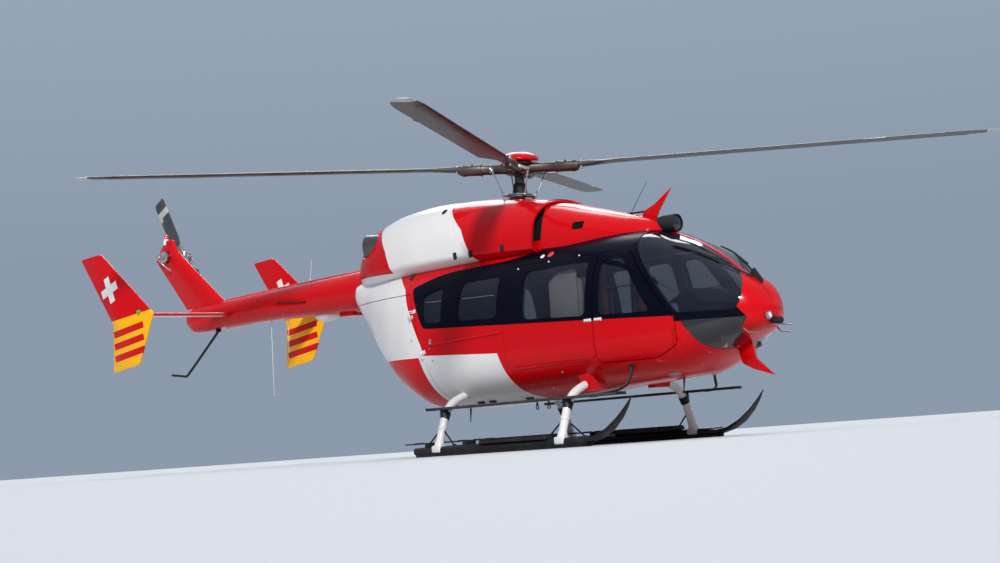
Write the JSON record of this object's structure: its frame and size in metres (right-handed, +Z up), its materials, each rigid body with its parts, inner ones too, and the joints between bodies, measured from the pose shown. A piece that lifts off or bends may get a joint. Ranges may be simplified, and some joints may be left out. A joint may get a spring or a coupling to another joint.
{
  "type": "light twin-engine rescue helicopter on skids",
  "caption": "Light rescue helicopter with a hingeless main rotor, hollow glazed cabin, hinged crew and rear clamshell doors, tail boom with stabiliser and open tail rotor, standing on skids.",
  "frame": {"origin": "middle of the outline seen from above, on the floor that the skids stand on", "axes": "+X forward to the nose, +Y to port, +Z up"},
  "size_m": [11.9724, 9.438, 3.8732],
  "materials": {
    "red_paint": "glossy red paint over composite sandwich skin",
    "boom_paint": "glossy red paint over composite and light alloy",
    "white_paint": "glossy off-white paint over composite skin",
    "yellow_paint": "glossy yellow and red paint",
    "window_glass": "smoked acrylic window pane",
    "beacon_red": "red lamp glass",
    "exhaust_steel": "heat-stained steel",
    "engine_alloy": "cast light alloy",
    "rotor_metal": "anodised and oiled rotor head",
    "blade_grey": "matt grey composite blade",
    "blade_white": "painted composite blade",
    "black_metal": "black coated tube",
    "white_tube": "white painted tube",
    "step_grey": "grey coated profile with grip",
    "floor_grey": "grey floor panel",
    "black_plastic": "matt black plastic",
    "seat_red": "red seat cloth",
    "stretcher_fabric": "padded stretcher top"
  },
  "bodies": {
    "airframe": {"nose_shell": "red_paint", "cabin_shell": "red_paint", "cabin_door_starboard": "red_paint", "cabin_door_port": "red_paint", "windscreen_starboard": "window_glass", "chin_window_starboard": "window_glass", "cabin_glass_starboard": "window_glass", "rear_glass_starboard": "window_glass", "windscreen_port": "window_glass", "chin_window_port": "window_glass", "cabin_glass_port": "window_glass", "rear_glass_port": "window_glass", "cowling_engine": "red_paint", "cowling_rear": "white_paint", "cowling_front": "red_paint", "exhaust_starboard": "exhaust_steel", "engine_starboard": "engine_alloy", "exhaust_port": "exhaust_steel", "engine_port": "engine_alloy", "main_gearbox": "engine_alloy", "tail_boom": "boom_paint", "stabiliser": "boom_paint", "shaft_cover": "boom_paint", "tail_fin": "boom_paint", "tail_gearbox": "engine_alloy", "tail_beacon": "beacon_red", "endplate_starboard": "yellow_paint", "endplate_port": "yellow_paint", "tail_bumper": "black_metal", "skid_starboard": "black_metal", "skid_port": "black_metal", "crosstube_front": "white_tube", "crosstube_rear": "white_tube", "step_starboard": "step_grey", "step_port": "step_grey", "cabin_floor": "floor_grey", "instrument_panel": "black_plastic", "pilot_seat_starboard": "seat_red", "pilot_seat_port": "seat_red", "care_seat": "seat_red", "stretcher": "stretcher_fabric", "roof_lamp": "black_plastic", "wire_cutter_top": "red_paint", "wire_cutter_low": "red_paint"},
    "pilot_door_starboard_leaf": {"pilot_door_starboard": "red_paint", "pilot_glass_starboard": "window_glass"},
    "pilot_door_port_leaf": {"pilot_door_port": "red_paint", "pilot_glass_port": "window_glass"},
    "clamshell_starboard_leaf": {"clamshell_door_starboard": "white_paint"},
    "clamshell_port_leaf": {"clamshell_door_port": "white_paint"},
    "main_rotor": {"rotor_head": "rotor_metal", "rotor_cap": "red_paint", "blade_1": "blade_grey", "blade_2": "blade_grey", "blade_3": "blade_grey", "blade_4": "blade_grey"},
    "tail_rotor_set": {"tail_rotor": "blade_white"}
  },
  "joints": [
    {"name": "main_rotor_spin", "type": "hinge", "parent": "airframe", "child": "main_rotor", "pos_m": [1.26563, 0, 3.27], "axis": [0.0523, 0, 0.9986], "continuous": true},
    {"name": "tail_rotor_spin", "type": "hinge", "parent": "airframe", "child": "tail_rotor_set", "pos_m": [-5.38437, 0.26, 2.98], "axis": [0, 1, 0], "continuous": true},
    {"name": "pilot_door_starboard_swing", "type": "hinge", "parent": "airframe", "child": "pilot_door_starboard_leaf", "pos_m": [3.95563, -0.73414, 1.14], "axis": [0, 0, 1], "range_deg": [0, 75]},
    {"name": "pilot_door_port_swing", "type": "hinge", "parent": "airframe", "child": "pilot_door_port_leaf", "pos_m": [3.95563, 0.73414, 1.14], "axis": [0, 0, -1], "range_deg": [0, 75]},
    {"name": "clamshell_starboard_swing", "type": "hinge", "parent": "airframe", "child": "clamshell_starboard_leaf", "pos_m": [0.24759, -0.87213, 1.4], "axis": [-0.3183, 0, 0.948], "range_deg": [0, 100]},
    {"name": "clamshell_port_swing", "type": "hinge", "parent": "airframe", "child": "clamshell_port_leaf", "pos_m": [0.24759, 0.87213, 1.4], "axis": [0.3183, 0, -0.948], "range_deg": [0, 100]}
  ]
}
